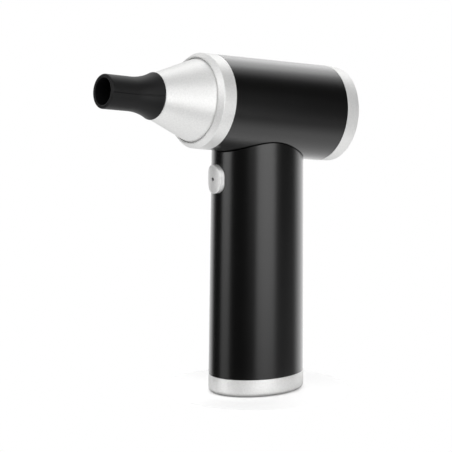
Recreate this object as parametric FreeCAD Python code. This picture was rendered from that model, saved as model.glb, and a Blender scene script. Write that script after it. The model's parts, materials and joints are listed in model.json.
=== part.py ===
import FreeCAD, Part
import math
import os
from FreeCAD import Vector

# A cordless handheld air blower, in millimetres.
# The handle stands on the origin along +Z. The barrel crosses the handle's axis at axis_height and points
# its nozzle towards -X, raised by the rake angle. What sits in the barrel is drawn along the barrel's own
# axis, with the nozzle at -X and the handle's axis crossing at x = 0, and on_barrel() puts it in place.

# Barrel
rake = 10.7
barrel_radius = 23.0
barrel_wall = 1.5

# Front ring
collar_length = 6.9
shoulder_length = 2.5
shoulder_drop = 2.25
collar_spigot_length = 6.0
collar_spigot_wall = 1.7
plug_bore_lip = 1.15
plug_end_space = 0.6

# Nose cone, whose base lies in a shallow seat in the front ring
cone_recess = 1.0
cone_seat_rim = 0.2
cone_seat_gap = 0.25
cone_length = 24.4
cone_top_radius = 11.1
cone_plug_length = 7.5
cone_plug_wall = 1.2
cone_top_wall = 2.4
cone_throat_length = 1.5
spigot_radius = 7.6
spigot_length = 8.0
outlet_radius = 6.6
seal_wire = 1.2
seal_from_plug_end = 2.6

# Nozzle tip
tip_length = 29.0
tip_skirt_radius = 11.45
tip_waist_radius = 8.3
tip_lip_radius = 8.4
tip_flare_angle = 27.0
tip_lip_round = 0.8
tip_mouth_round = 0.5
tip_rear_round = 0.6

# Rear ring, grille and screen
rear_ring_length = 7.4
rear_ring_taper = 0.5
rear_ring_round = 0.9
rear_ring_rim = 3.4
rear_spigot_length = 4.0
rear_spigot_clearance = 0.55
rear_spigot_wall = 1.4
grille_thickness = 1.6
grille_recess = 1.4
grille_rim_width = 1.6
grille_hub_radius = 4.2
grille_bar_width = 1.0
grille_bar_count = 4
grille_spoke_width = 1.4
grille_spoke_count = 6
screen_thickness = 0.8

# Fan housing
duct_wall = 1.4
hub_radius = 12.8
hub_wall = 1.3
hub_front = -10.0
hub_length = 21.0
hub_web = 2.0
bearing_stop = 1.0
bearing_boss_wall = 1.2
guide_vane_count = 9
guide_vane_thickness = 1.0
guide_vane_margin = 2.0
guide_vane_twist = 32.0
guide_vane_steps = 4
bell_length = 3.4
bell_lip = 2.0
bell_gap = 0.3
bell_skirt_length = 1.0
sleeve_wall = 1.2
sleeve_seat_short = 1.0
sleeve_flare_length = 4.55
mount_ring_thickness = 2.1
mount_ring_length = 5.0
mount_ring_from_pad = 0.6
mount_ring_offset = 1.45
mount_groove_depth = 0.7
mount_groove_width = 1.6

# Fan wheel
wheel_gap = 0.8
wheel_length = 14.2
wheel_hub_step = 0.4
wheel_hub_back_radius = 5.6
blade_count = 9
blade_thickness = 0.9
blade_twist = 58.0
blade_twist_power = 1.4
blade_steps = 4
blade_margin = 0.8
blade_tip_clearance = 0.4
wheel_wall = 1.5
wheel_cavity_depth = 7.0
wheel_boss_radius = 4.0
nut_radius = 4.6
nut_length = 5.5
nut_rim = 0.8
nut_crown = 1.2

# Shaft, bearings and motor
shaft_radius = 1.5
running_clearance = 0.05
bearing_outer_radius = 4.0
bearing_length = 4.0
bearing_race_width = 0.9
bearing_shield_recess = 0.3
shaft_overhang = 1.5
shaft_hole_gap = 0.8
magnet_radius = 4.2
magnet_length = 9.0
air_gap = 0.5
stator_length = 9.0
stator_tooth_count = 6
stator_tooth_width = 2.4
stator_slot_width = 1.0
stator_back_iron = 1.8
tooth_tip_height = 1.0
coil_overhang = 1.6
coil_thickness = 1.3
coil_clearance = 0.3
end_plate_thickness = 2.0
tail_length = 15.0
tail_end_radius = 1.6
tail_wall = 1.2
tail_fullness = 0.72

# Handle
grip_depth_bottom = 49.2
grip_width_bottom = 37.9
grip_depth_top = 47.2
grip_width_top = 36.4
grip_wall = 1.6
saddle_gap = 0.35

# Base
base_height = 8.8
base_round = 2.2
base_floor = 2.0
base_chamfer = 0.3
base_spigot_height = 4.0
base_spigot_wall = 1.4
foot_thickness = 1.6
foot_proud = 0.4
foot_inset = 4.5
foot_side_gap = 0.1

# Button
button_above_chassis = 14.6
button_width = 10.6
button_height = 14.1
button_proud = 2.3
button_round = 0.5
button_wall = 1.4
button_flange = 1.0
button_flange_thickness = 1.0
button_travel = 1.0
button_side_gap = 0.2
light_radius = 1.0
light_recess = 0.4
light_length = 2.6

# Switch and control board
board_thickness = 1.4
board_width = 19.0
board_top_margin = 2.9
board_from_front = 8.2
switch_size = 6.0
switch_thickness = 2.2
plunger_radius = 1.6
component_margin = 1.0
chip_size = 4.5
chip_height = 1.0
transistor_count = 3
transistor_width = 2.8
transistor_length = 3.8
capacitor_radius = 2.5
capacitor_height = 3.0

# Cells
cell_radius = 9.1
cell_length = 65.0
cell_gap = 0.4
cell_tab_radius = 3.4
cell_tab_height = 0.8
cell_edge_round = 0.6
strap_width = 8.0
strap_reach = 3.0
strap_thickness = 0.3

# Chassis and neck
plate_thickness = 2.0
plate_gap = 0.25
cell_end_space = 0.5
rail_width = 3.4
rail_inner_edge = 6.6
rail_edge_margin = 0.8
boss_radius = 3.2
boss_offset = 12.0
screw_radius = 1.3
screw_clearance = 0.2
screw_head_radius = 2.5
screw_head_height = 1.6
screw_length = 12.0
neck_screw_length = 9.5
neck_board_gap = 0.25
neck_width = 20.0
neck_wall = 1.6
neck_above_chassis = 10.4
neck_to_barrel = 14.0
neck_floor_thickness = 2.0
neck_slot_depth = 5.0
neck_slot_width = 12.0
saddle_pad_thickness = 1.5
saddle_pad_margin = 3.5
neck_screw_offset = 7.0

# Charging socket
charge_board_clearance = 1.2
charge_board_length = 20.0
charge_board_width = 18.0
charge_board_setback = 1.0
socket_width = 8.9
socket_height = 3.2
socket_length = 7.4
socket_wall = 0.35
socket_back_wall = 1.0
socket_setback = 0.3
socket_slot_gap = 0.35
socket_head_room = 1.55
tongue_width = 6.4
tongue_thickness = 0.7
tongue_short = 1.0

# Small gaps between pieces that are fixed together, and between a loose piece and its seat
fixed_gap = 0.05
loose_gap = 0.2
edge_chamfer = 0.4
# How far joined forms reach into each other, and how far a cut runs past what it goes through
weld_depth = 0.5
overrun = 20.0

# Heights in the handle, from the base up to the barrel's axis
base_floor_top = foot_thickness + base_floor
charge_board_height = base_height + base_spigot_height + charge_board_clearance
socket_height_on_grip = charge_board_height + board_thickness + fixed_gap + socket_height / 2
low_plate_bottom = socket_height_on_grip + socket_height / 2 + socket_head_room
low_plate_top = low_plate_bottom + plate_thickness
cell_bottom = low_plate_top + cell_end_space + cell_tab_height
cell_top = cell_bottom + cell_length
chassis_top = cell_top + cell_tab_height + cell_end_space + plate_thickness
button_height_on_grip = chassis_top + button_above_chassis
board_length = button_above_chassis + switch_size / 2 + board_top_margin
neck_floor = chassis_top + neck_above_chassis
axis_height = neck_floor + neck_to_barrel + barrel_radius

# Radii in the barrel, from the shell inwards
shell_bore = barrel_radius - barrel_wall
spigot_fit_radius = shell_bore - fixed_gap
plug_bore_radius = spigot_fit_radius - collar_spigot_wall - plug_bore_lip
bore_plug_radius = plug_bore_radius - loose_gap
seal_outer_radius = plug_bore_radius - loose_gap / 2
shoulder_radius = barrel_radius - shoulder_drop
cone_seat_radius = shoulder_radius - cone_seat_rim
cone_base_radius = cone_seat_radius - cone_seat_gap
rear_ring_end_radius = barrel_radius - rear_ring_taper
rear_opening_radius = barrel_radius - rear_ring_rim
rear_spigot_bore = shell_bore - loose_gap - rear_spigot_wall
grille_radius = rear_spigot_bore - fixed_gap
duct_outer = shell_bore - mount_ring_thickness
duct_radius = duct_outer - duct_wall
wheel_radius = duct_radius - blade_tip_clearance
hub_bore = hub_radius - hub_wall
bearing_seat_radius = bearing_outer_radius + fixed_gap
bearing_boss_radius = bearing_seat_radius + bearing_boss_wall
stator_radius = hub_bore - loose_gap
wheel_hub_front_radius = hub_radius - wheel_hub_step


def on_slope(x, x0, r0, x1, r1):
    """Value at x on the straight line from (x0, r0) to (x1, r1)."""
    return r0 + (r1 - r0) * (x - x0) / (x1 - x0)


def grip_depth_at(z):
    return on_slope(z, base_height, grip_depth_bottom, axis_height, grip_depth_top)


def grip_width_at(z):
    return on_slope(z, base_height, grip_width_bottom, axis_height, grip_width_top)


def grip_front_at(z):
    return -grip_depth_at(z) / 2


# Mouth of the charging socket in the handle's back
socket_mouth = grip_depth_at(charge_board_height) / 2 - socket_setback

# The neck, whose front stands just behind the control board, and its pad inside the barrel's floor
board_front = grip_front_at(button_height_on_grip) + board_from_front
neck_depth = -2 * (board_front + board_thickness + neck_board_gap)
pad_half_depth = neck_depth / 2 + saddle_pad_margin
rake_sine = math.sin(math.radians(rake))
rake_cosine = math.cos(math.radians(rake))
pad_front = (spigot_fit_radius * rake_sine - pad_half_depth) / rake_cosine
pad_back = (spigot_fit_radius * rake_sine + pad_half_depth) / rake_cosine

# Places along the barrel's axis, outwards from the pad
front_mount_x = pad_front - mount_ring_from_pad - mount_ring_length
housing_front = front_mount_x - fixed_gap
barrel_front = housing_front - fixed_gap - sleeve_flare_length + sleeve_seat_short - collar_spigot_length
collar_front = barrel_front - collar_length
ring_front = collar_front - shoulder_length
cone_base = ring_front + cone_recess
cone_seat_floor = cone_base + loose_gap
cone_top = cone_base - cone_length
spigot_front = cone_top - spigot_length
plug_back = ring_front + cone_plug_length
tip_back = cone_top - fixed_gap
tip_front = tip_back - tip_length
rear_mount_x = pad_back + mount_ring_from_pad
housing_back = rear_mount_x + mount_ring_length + mount_ring_offset
bell_back = housing_back + fixed_gap + bell_length
barrel_back = bell_back + rear_spigot_clearance + rear_spigot_length
ring_back = barrel_back + rear_ring_length
grille_back = ring_back - grille_recess
grille_front = grille_back - grille_thickness
hub_back = hub_front + hub_length
front_bearing_x = hub_front + fixed_gap
rear_bearing_x = hub_back - bearing_stop - fixed_gap - bearing_length
stator_centre = (front_bearing_x + bearing_length + rear_bearing_x) / 2
wheel_front = hub_back + wheel_gap
wheel_back = wheel_front + wheel_length
shaft_front = hub_front - shaft_overhang


def outline(points):
    """Closed wire in the XZ plane from (x, z) corners; a longer entry is an arc (mid x, mid z, x, z)."""
    edges = []
    here = Vector(points[0][0], 0, points[0][1])
    for step in points[1:] + [points[0]]:
        there = Vector(step[-2], 0, step[-1])
        if len(step) == 4:
            edges.append(Part.Arc(here, Vector(step[0], 0, step[1]), there).toShape())
        else:
            edges.append(Part.LineSegment(here, there).toShape())
        here = there
    return Part.Wire(edges)


def turned(points):
    """Solid of revolution about the X axis."""
    return Part.Face(outline(points)).revolve(Vector(0, 0, 0), Vector(1, 0, 0), 360)


def tube(outer, inner, x0, x1):
    """Round tube along the X axis."""
    return turned([(x0, inner), (x1, inner), (x1, outer), (x0, outer)])


def rod(radius, x0, x1):
    return Part.makeCylinder(radius, x1 - x0, Vector(x0, 0, 0), Vector(1, 0, 0))


def post(radius, z0, z1, x=0.0, y=0.0):
    return Part.makeCylinder(radius, z1 - z0, Vector(x, y, z0))


def block(x0, x1, y0, y1, z0, z1):
    return Part.makeBox(x1 - x0, y1 - y0, z1 - z0, Vector(x0, y0, z0))


def on_barrel(shape):
    """Turns a piece drawn along the barrel's axis up by the rake and lifts it to the barrel."""
    placed = shape.copy()
    placed.rotate(Vector(0, 0, 0), Vector(0, 1, 0), rake)
    placed.translate(Vector(0, 0, axis_height))
    return placed


def around_axis(shape, count):
    """Equal copies of a shape, turned about the X axis."""
    copies = []
    for k in range(count):
        turned_copy = shape.copy()
        turned_copy.rotate(Vector(0, 0, 0), Vector(1, 0, 0), 360.0 * k / count)
        copies.append(turned_copy)
    return copies


# Oval sections of the handle


def oval_wire(depth, width, z):
    """Oval with its long axis fore and aft."""
    oval = Part.Ellipse(Vector(depth / 2, 0, z), Vector(0, width / 2, z), Vector(0, 0, z))
    return Part.Wire(oval.toShape())


def grip_body(z0, z1, inset=0.0):
    """The handle's tapered oval between two heights, made smaller all round by the inset."""
    ends = []
    for z in (z0, z1):
        ends.append(oval_wire(grip_depth_at(z) - 2 * inset, grip_width_at(z) - 2 * inset, z))
    return Part.makeLoft(ends, True, True)


def neck_prism(z0, z1, inset=0.0):
    """The neck's upright oval, made smaller all round by the inset."""
    wire = oval_wire(neck_depth - 2 * inset, neck_width - 2 * inset, z0)
    return Part.Face(wire).extrude(Vector(0, 0, z1 - z0))


# Nozzle and nose cone


def nozzle_tip():
    """Sleeve with a rounded lip, and a flare that grows as one hollow arc from the waist to the rear rim."""
    socket_radius = spigot_radius + loose_gap
    socket_end = spigot_front - loose_gap
    flare = math.radians(tip_flare_angle)
    rim_x = tip_back - tip_rear_round
    rim_r = tip_skirt_radius - tip_rear_round
    rim_turn = (math.pi / 2 + flare) / 2
    flare_back = rim_x - tip_rear_round * math.sin(flare)
    flare_top = rim_r + tip_rear_round * math.cos(flare)
    flare_bend = (flare_top - tip_waist_radius) / (1 - math.cos(flare))
    flare_front = flare_back - flare_bend * math.sin(flare)
    flare_middle_x = flare_front + flare_bend * math.sin(flare / 2)
    flare_middle_r = tip_waist_radius + flare_bend * (1 - math.cos(flare / 2))
    lip_cut = tip_lip_round * (1 - math.sqrt(0.5))
    points = [
        (tip_front + tip_mouth_round, outlet_radius),
        (socket_end, outlet_radius),
        (socket_end, socket_radius),
        (tip_back, socket_radius),
        (tip_back, rim_r),
        (rim_x + tip_rear_round * math.cos(rim_turn), rim_r + tip_rear_round * math.sin(rim_turn),
         flare_back, flare_top),
        (flare_middle_x, flare_middle_r, flare_front, tip_waist_radius),
        (tip_front + tip_lip_round, tip_lip_radius),
        (tip_front + lip_cut, tip_lip_radius - lip_cut, tip_front, tip_lip_radius - tip_lip_round),
        (tip_front, outlet_radius + tip_mouth_round),
    ]
    return on_barrel(turned(points))


def nose_cone():
    plug_bore = bore_plug_radius - cone_plug_wall
    groove_x0 = plug_back - seal_from_plug_end
    groove_x1 = groove_x0 + seal_wire + 2 * fixed_gap
    groove_floor = seal_outer_radius - seal_wire - fixed_gap
    points = [
        (spigot_front, outlet_radius),
        (cone_top, outlet_radius),
        (cone_top + cone_throat_length, cone_top_radius - cone_top_wall),
        (cone_base, plug_bore),
        (plug_back, plug_bore),
        (plug_back, bore_plug_radius - edge_chamfer),
        (plug_back - edge_chamfer, bore_plug_radius),
        (groove_x1, bore_plug_radius),
        (groove_x1, groove_floor),
        (groove_x0, groove_floor),
        (groove_x0, bore_plug_radius),
        (cone_base, bore_plug_radius),
        (cone_base, cone_base_radius),
        (cone_top, cone_top_radius),
        (cone_top, spigot_radius),
        (spigot_front + edge_chamfer, spigot_radius),
        (spigot_front, spigot_radius - edge_chamfer),
    ]
    return on_barrel(turned(points))


def nose_seal():
    wire_radius = seal_wire / 2
    x = plug_back - seal_from_plug_end + fixed_gap + wire_radius
    ring = Part.makeTorus(seal_outer_radius - wire_radius, wire_radius, Vector(x, 0, 0), Vector(1, 0, 0))
    return on_barrel(ring)


# Barrel


def front_ring():
    spigot_outer = spigot_fit_radius
    spigot_inner = spigot_outer - collar_spigot_wall
    spigot_end = barrel_front + collar_spigot_length
    bore_end = plug_back + plug_end_space
    points = [
        (ring_front, cone_seat_radius),
        (cone_seat_floor, cone_seat_radius),
        (cone_seat_floor, plug_bore_radius),
        (bore_end, plug_bore_radius),
        (bore_end, spigot_inner),
        (spigot_end, spigot_inner),
        (spigot_end, spigot_outer),
        (barrel_front, spigot_outer),
        (barrel_front, barrel_radius),
        (collar_front, barrel_radius),
        (ring_front, shoulder_radius),
    ]
    return on_barrel(turned(points))


def barrel_shell():
    shell = on_barrel(tube(barrel_radius, shell_bore, barrel_front, barrel_back))
    opening = neck_prism(neck_floor, axis_height, -fixed_gap)
    return shell.cut(opening)


def outlet_sleeve():
    """Tube from the fan housing to the front ring, with a thick front end that fits the ring's spigot."""
    seat_radius = spigot_fit_radius - collar_spigot_wall - fixed_gap
    seat_end = barrel_front + collar_spigot_length - sleeve_seat_short
    front = plug_back + plug_end_space + fixed_gap
    back = housing_front - fixed_gap
    points = [
        (front, duct_radius),
        (back, duct_radius),
        (back, duct_outer),
        (seat_end, duct_radius + sleeve_wall),
        (seat_end, seat_radius),
        (front, seat_radius),
    ]
    return on_barrel(turned(points))


def rear_ring():
    spigot_outer = shell_bore - loose_gap
    spigot_inner = rear_spigot_bore
    spigot_front_x = barrel_back - rear_spigot_length
    cut = rear_ring_round * (1 - math.sqrt(0.5))
    points = [
        (spigot_front_x, spigot_inner),
        (grille_back, spigot_inner),
        (grille_back, rear_opening_radius),
        (ring_back, rear_opening_radius),
        (ring_back, rear_ring_end_radius - rear_ring_round),
        (ring_back - cut, rear_ring_end_radius - cut, ring_back - rear_ring_round, rear_ring_end_radius),
        (barrel_back + fixed_gap, barrel_radius),
        (barrel_back + fixed_gap, spigot_outer),
        (spigot_front_x, spigot_outer),
    ]
    return on_barrel(turned(points))


def intake_grille():
    rim_inner = grille_radius - grille_rim_width
    pieces = [tube(grille_radius, rim_inner, grille_front, grille_back)]
    pieces.append(rod(grille_hub_radius, grille_front, grille_back))
    pitch = (rim_inner - grille_hub_radius - grille_bar_count * grille_bar_width) / (grille_bar_count + 1)
    for k in range(grille_bar_count):
        inner = grille_hub_radius + pitch + k * (pitch + grille_bar_width)
        pieces.append(tube(inner + grille_bar_width, inner, grille_front, grille_back))
    half = grille_spoke_width / 2
    spoke_inner = grille_hub_radius - weld_depth
    spoke = block(grille_front, grille_back, -half, half, spoke_inner, rim_inner + weld_depth)
    pieces += around_axis(spoke, grille_spoke_count)
    grille = pieces[0].fuse(pieces[1:])
    return on_barrel(grille.removeSplitter())


def filter_screen():
    back = grille_front - fixed_gap
    return on_barrel(rod(grille_radius, back - screen_thickness, back))


# Fan housing and its mounts


def twisted_blade(stations, thickness):
    """Blade lofted through radial sections; each station is (x, inner radius, outer radius, turn)."""
    wires = []
    for x, inner, outer, turn in stations:
        half = thickness / 2
        wire = Part.makePolygon([
            Vector(x, -half, inner),
            Vector(x, half, inner),
            Vector(x, half, outer),
            Vector(x, -half, outer),
            Vector(x, -half, inner),
        ])
        wire.rotate(Vector(0, 0, 0), Vector(1, 0, 0), turn)
        wires.append(wire)
    return Part.makeLoft(wires, True, False)


def guide_vane():
    stations = []
    for k in range(guide_vane_steps + 1):
        share = k / guide_vane_steps
        x = hub_front + guide_vane_margin + (hub_length - 2 * guide_vane_margin) * share
        turn = guide_vane_twist * share * share
        stations.append((x, hub_radius - hub_wall / 2, duct_radius + duct_wall / 2, turn))
    return twisted_blade(stations, guide_vane_thickness)


def fan_housing():
    shroud = tube(duct_outer, duct_radius, housing_front, housing_back)
    web_front = hub_back - hub_web
    boss_front = rear_bearing_x + fixed_gap
    seat_back = hub_back - bearing_stop
    hub = turned([
        (hub_front, hub_bore),
        (web_front, hub_bore),
        (web_front, bearing_boss_radius),
        (boss_front, bearing_boss_radius),
        (boss_front, bearing_seat_radius),
        (seat_back, bearing_seat_radius),
        (seat_back, shaft_radius + shaft_hole_gap),
        (hub_back, shaft_radius + shaft_hole_gap),
        (hub_back, hub_radius),
        (hub_front, hub_radius),
    ])
    vanes = around_axis(guide_vane(), guide_vane_count)
    return on_barrel(shroud.fuse([hub] + vanes).removeSplitter())


def inlet_bell():
    inner = duct_radius
    outer = duct_outer
    front = housing_back + fixed_gap
    back = bell_back
    lip = inner + bell_lip
    cut = bell_lip * (1 - math.sqrt(0.5))
    skirt = outer + fixed_gap
    skirt_outer = shell_bore - bell_gap
    skirt_end = front - bell_skirt_length
    points = [
        (front, inner),
        (back - bell_lip, inner),
        (back - cut, inner + cut, back, lip),
        (back, skirt_outer),
        (skirt_end, skirt_outer),
        (skirt_end, skirt),
        (front, skirt),
    ]
    return on_barrel(turned(points))


def mount_ring(front):
    """Rubber ring with a groove round its outside."""
    inner = duct_outer + fixed_gap
    outer = spigot_fit_radius
    middle = front + mount_ring_length / 2
    half = mount_groove_width / 2
    floor_radius = outer - mount_groove_depth
    points = [
        (front, inner),
        (front + mount_ring_length, inner),
        (front + mount_ring_length, outer),
        (middle + half, outer),
        (middle + half, floor_radius),
        (middle - half, floor_radius),
        (middle - half, outer),
        (front, outer),
    ]
    return on_barrel(turned(points))


def mount_ring_front():
    return mount_ring(front_mount_x)


def mount_ring_rear():
    return mount_ring(rear_mount_x)


# Fan wheel, shaft and motor


def wheel_hub_radius_at(x):
    share = (x - wheel_front) / (wheel_back - wheel_front)
    drop = wheel_hub_front_radius - wheel_hub_back_radius
    return wheel_hub_front_radius - drop * math.sin(share * math.pi / 2)


def impeller():
    """Hollow hub that swells towards the duct, with blades that turn more and more towards the intake."""
    middle = (wheel_front + wheel_back) / 2
    cavity_back = wheel_front + wheel_cavity_depth
    bore = shaft_radius + fixed_gap / 2
    hub = turned([
        (wheel_front, wheel_boss_radius),
        (cavity_back, wheel_boss_radius),
        (cavity_back, wheel_hub_radius_at(cavity_back) - wheel_wall),
        (wheel_front, wheel_hub_front_radius - wheel_wall),
        (wheel_front, wheel_hub_front_radius),
        (middle, wheel_hub_radius_at(middle), wheel_back, wheel_hub_back_radius),
        (wheel_back, bore),
        (wheel_front, bore),
    ])
    stations = []
    for k in range(blade_steps + 1):
        share = k / blade_steps
        x = wheel_front + blade_margin + (wheel_back - wheel_front - 2 * blade_margin) * share
        root = wheel_hub_radius_at(x) - weld_depth
        stations.append((x, root, wheel_radius, -blade_twist * share ** blade_twist_power))
    blades = around_axis(twisted_blade(stations, blade_thickness), blade_count)
    return on_barrel(hub.fuse(blades).removeSplitter())


def impeller_nut():
    """Dome with a blind bore for the end of the shaft."""
    bore = shaft_radius + fixed_gap / 2
    front = wheel_back + fixed_gap
    back = front + nut_length
    dome_front = front + nut_rim
    dome_length = back - dome_front
    eighth = math.sqrt(0.5)
    points = [
        (front, bore),
        (back - nut_crown, bore),
        (back - nut_crown, 0.0),
        (back, 0.0),
        (dome_front + dome_length * eighth, nut_radius * eighth, dome_front, nut_radius),
        (front, nut_radius),
    ]
    return on_barrel(turned(points))


def rotor_shaft():
    back = wheel_back + nut_length - nut_crown - loose_gap
    return on_barrel(rod(shaft_radius, shaft_front, back))


def rotor_magnet():
    bore = shaft_radius + fixed_gap / 2
    x0 = stator_centre - magnet_length / 2
    return on_barrel(tube(magnet_radius, bore, x0, x0 + magnet_length))


def bearing(front):
    """Shielded ball bearing: two races with a shallow recess at each side."""
    bore = shaft_radius + running_clearance
    race = bearing_race_width
    recess = bearing_shield_recess
    back = front + bearing_length
    points = [
        (front, bore),
        (back, bore),
        (back, bore + race),
        (back - recess, bore + race),
        (back - recess, bearing_outer_radius - race),
        (back, bearing_outer_radius - race),
        (back, bearing_outer_radius),
        (front, bearing_outer_radius),
        (front, bearing_outer_radius - race),
        (front + recess, bearing_outer_radius - race),
        (front + recess, bore + race),
        (front, bore + race),
    ]
    return on_barrel(turned(points))


def bearing_front():
    return bearing(front_bearing_x)


def bearing_rear():
    return bearing(rear_bearing_x)


def motor_stator():
    x0 = stator_centre - stator_length / 2
    x1 = stator_centre + stator_length / 2
    back_iron_bore = stator_radius - stator_back_iron
    back_iron = tube(stator_radius, back_iron_bore, x0, x1)
    tip_inner = magnet_radius + air_gap
    tip_outer = tip_inner + tooth_tip_height
    half = stator_tooth_width / 2
    tooth = block(x0, x1, -half, half, tip_outer - weld_depth, back_iron_bore + weld_depth)
    tip_ring = tube(tip_outer, tip_inner, x0, x1)
    slot_half = stator_slot_width / 2
    slot = block(x0 - overrun, x1 + overrun, -slot_half, slot_half, 0, tip_outer + weld_depth)
    slot.rotate(Vector(0, 0, 0), Vector(1, 0, 0), 180.0 / stator_tooth_count)
    tips = tip_ring.cut(Part.makeCompound(around_axis(slot, stator_tooth_count)))
    core = back_iron.fuse([tips] + around_axis(tooth, stator_tooth_count))
    return on_barrel(core.removeSplitter())


def motor_windings():
    """One coil wound round each tooth, narrower towards the axis so that the coils clear each other."""
    x0 = stator_centre - stator_length / 2
    x1 = stator_centre + stator_length / 2
    inner = magnet_radius + air_gap + tooth_tip_height + coil_clearance
    half = stator_tooth_width / 2 + fixed_gap
    widest = half + coil_thickness
    outer = math.sqrt((stator_radius - stator_back_iron - coil_clearance) ** 2 - widest ** 2)
    sector = math.tan(math.pi / stator_tooth_count)
    inner_half = min(widest, inner * sector - coil_clearance)
    section = Part.makePolygon([
        Vector(x0 - coil_overhang, -inner_half, inner),
        Vector(x0 - coil_overhang, inner_half, inner),
        Vector(x0 - coil_overhang, widest, outer),
        Vector(x0 - coil_overhang, -widest, outer),
        Vector(x0 - coil_overhang, -inner_half, inner),
    ])
    coil = Part.Face(section).extrude(Vector(stator_length + 2 * coil_overhang, 0, 0))
    coil = coil.cut(block(x0 - fixed_gap, x1 + fixed_gap, -half, half, 0, stator_radius))
    return on_barrel(Part.makeCompound(around_axis(coil, stator_tooth_count)))


def motor_end_plate():
    outer = hub_bore - fixed_gap
    boss_back = hub_front + bearing_length
    plate_back = hub_front + end_plate_thickness
    return on_barrel(turned([
        (hub_front, bearing_seat_radius),
        (boss_back, bearing_seat_radius),
        (boss_back, bearing_boss_radius),
        (plate_back, bearing_boss_radius),
        (plate_back, outer),
        (hub_front, outer),
    ]))


def tail_cone():
    back = hub_front - fixed_gap
    front = back - tail_length
    bend_x = back - tail_length / 2
    bend_r = hub_radius * tail_fullness
    inner_front = front + tail_wall
    points = [
        (back, hub_radius - tail_wall),
        (bend_x, bend_r - tail_wall, inner_front, tail_end_radius / 2),
        (inner_front, 0.0),
        (front, 0.0),
        (front, tail_end_radius),
        (bend_x, bend_r, back, hub_radius),
    ]
    return on_barrel(turned(points))


# Handle, button and base


def slot_bar(x0, x1, half_w, half_h, z):
    """Bar along X whose section is a rectangle with round ends, or a circle where it is as high as wide."""
    end = min(half_w, half_h)
    reach_y = half_w - end
    reach_z = half_h - end
    ends = []
    for way in (-1, 1):
        start = Vector(x0, way * reach_y, z + way * reach_z)
        ends.append(Part.makeCylinder(end, x1 - x0, start, Vector(1, 0, 0)))
    if reach_y > 0:
        return ends[0].fuse([ends[1], block(x0, x1, -reach_y, reach_y, z - end, z + end)]).removeSplitter()
    if reach_z > 0:
        return ends[0].fuse([ends[1], block(x0, x1, -end, end, z - reach_z, z + reach_z)]).removeSplitter()
    return ends[0]


def button_prism(inset, proud):
    """The button's outline swept from in front of the handle to the control board's face."""
    front = grip_front_at(button_height_on_grip)
    half_w = button_width / 2 - inset
    half_h = button_height / 2 - inset
    return slot_bar(front - proud, board_front, half_w, half_h, button_height_on_grip)


def grip_shifted(distance, inset=0.0):
    """The handle's outer form round the button, moved forward by the distance."""
    z0 = button_height_on_grip - button_height
    z1 = button_height_on_grip + button_height
    body = grip_body(z0, z1, inset)
    body.translate(Vector(-distance, 0, 0))
    return body


def handle_shell():
    outer = grip_body(base_height, axis_height)
    inner = grip_body(base_height - weld_depth, axis_height + weld_depth, grip_wall)
    saddle_radius = barrel_radius + saddle_gap
    barrel_clear = on_barrel(rod(saddle_radius, barrel_front - overrun, barrel_back + overrun))
    shell = outer.cut(inner).cut(barrel_clear)
    shell = shell.cut(button_prism(-button_side_gap, overrun))
    return shell.cut(socket_slot(socket_slot_gap))


def power_button():
    """Hollow cap whose face follows the handle, with a flange that stops behind the handle's wall."""
    front = grip_front_at(button_height_on_grip)
    cap = button_prism(0, overrun).common(grip_shifted(button_proud))
    face_edges = [edge for edge in cap.Edges if edge.BoundBox.XMax < front]
    cap = cap.makeFillet(button_round, face_edges)
    flange_front = grip_wall + loose_gap
    flange = button_prism(-button_flange, 0).common(grip_shifted(0, flange_front))
    button = cap.fuse(flange).cut(grip_shifted(0, flange_front + button_flange_thickness))
    pocket = button_prism(button_wall, overrun).common(grip_shifted(button_proud - button_wall))
    button = button.cut(pocket)
    start = Vector(front - overrun / 2, 0, button_height_on_grip)
    return button.cut(Part.makeCylinder(light_radius, overrun, start, Vector(1, 0, 0)))


def light_pipe():
    """Clear pin that starts just under the button's face."""
    front = grip_front_at(button_height_on_grip) - button_proud
    start = Vector(front + light_recess, 0, button_height_on_grip)
    return Part.makeCylinder(light_radius - fixed_gap, light_length, start, Vector(1, 0, 0))


def tact_switch():
    half = switch_size / 2
    z = button_height_on_grip
    back = board_front - fixed_gap
    return block(back - switch_thickness, back, -half, half, z - half, z + half)


def switch_plunger():
    """Hollow pin between the button and the switch, short of the switch by the button's travel."""
    z = button_height_on_grip
    switch_front = board_front - fixed_gap - switch_thickness
    x1 = switch_front - button_travel - loose_gap
    x0 = grip_front_at(z) - button_proud + button_wall + fixed_gap
    pin = Part.makeCylinder(plunger_radius, x1 - x0, Vector(x0, 0, z), Vector(1, 0, 0))
    hole = Part.makeCylinder(light_radius, x1 - x0, Vector(x0, 0, z), Vector(1, 0, 0))
    return pin.cut(hole)


def control_board():
    """Board that stands on the chassis behind the button."""
    x0 = board_front
    half = board_width / 2
    z0 = chassis_top + fixed_gap
    return block(x0, x0 + board_thickness, -half, half, z0, z0 + board_length)


def board_parts():
    """A controller and three transistors below the switch, and a capacitor on the board's other side."""
    x1 = board_front - fixed_gap
    x0 = x1 - chip_height
    y = component_margin - board_width / 2
    z0 = chassis_top + component_margin
    pieces = [block(x0, x1, y, y + chip_size, z0, z0 + chip_size)]
    y += chip_size + component_margin
    for k in range(transistor_count):
        pieces.append(block(x0, x1, y, y + transistor_width, z0, z0 + transistor_length))
        y += transistor_width + component_margin
    back = board_front + board_thickness + fixed_gap
    start = Vector(back, board_width / 2 - capacitor_radius - component_margin, z0 + capacitor_radius)
    pieces.append(Part.makeCylinder(capacitor_radius, capacitor_height, start, Vector(1, 0, 0)))
    return Part.makeCompound(pieces)


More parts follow.
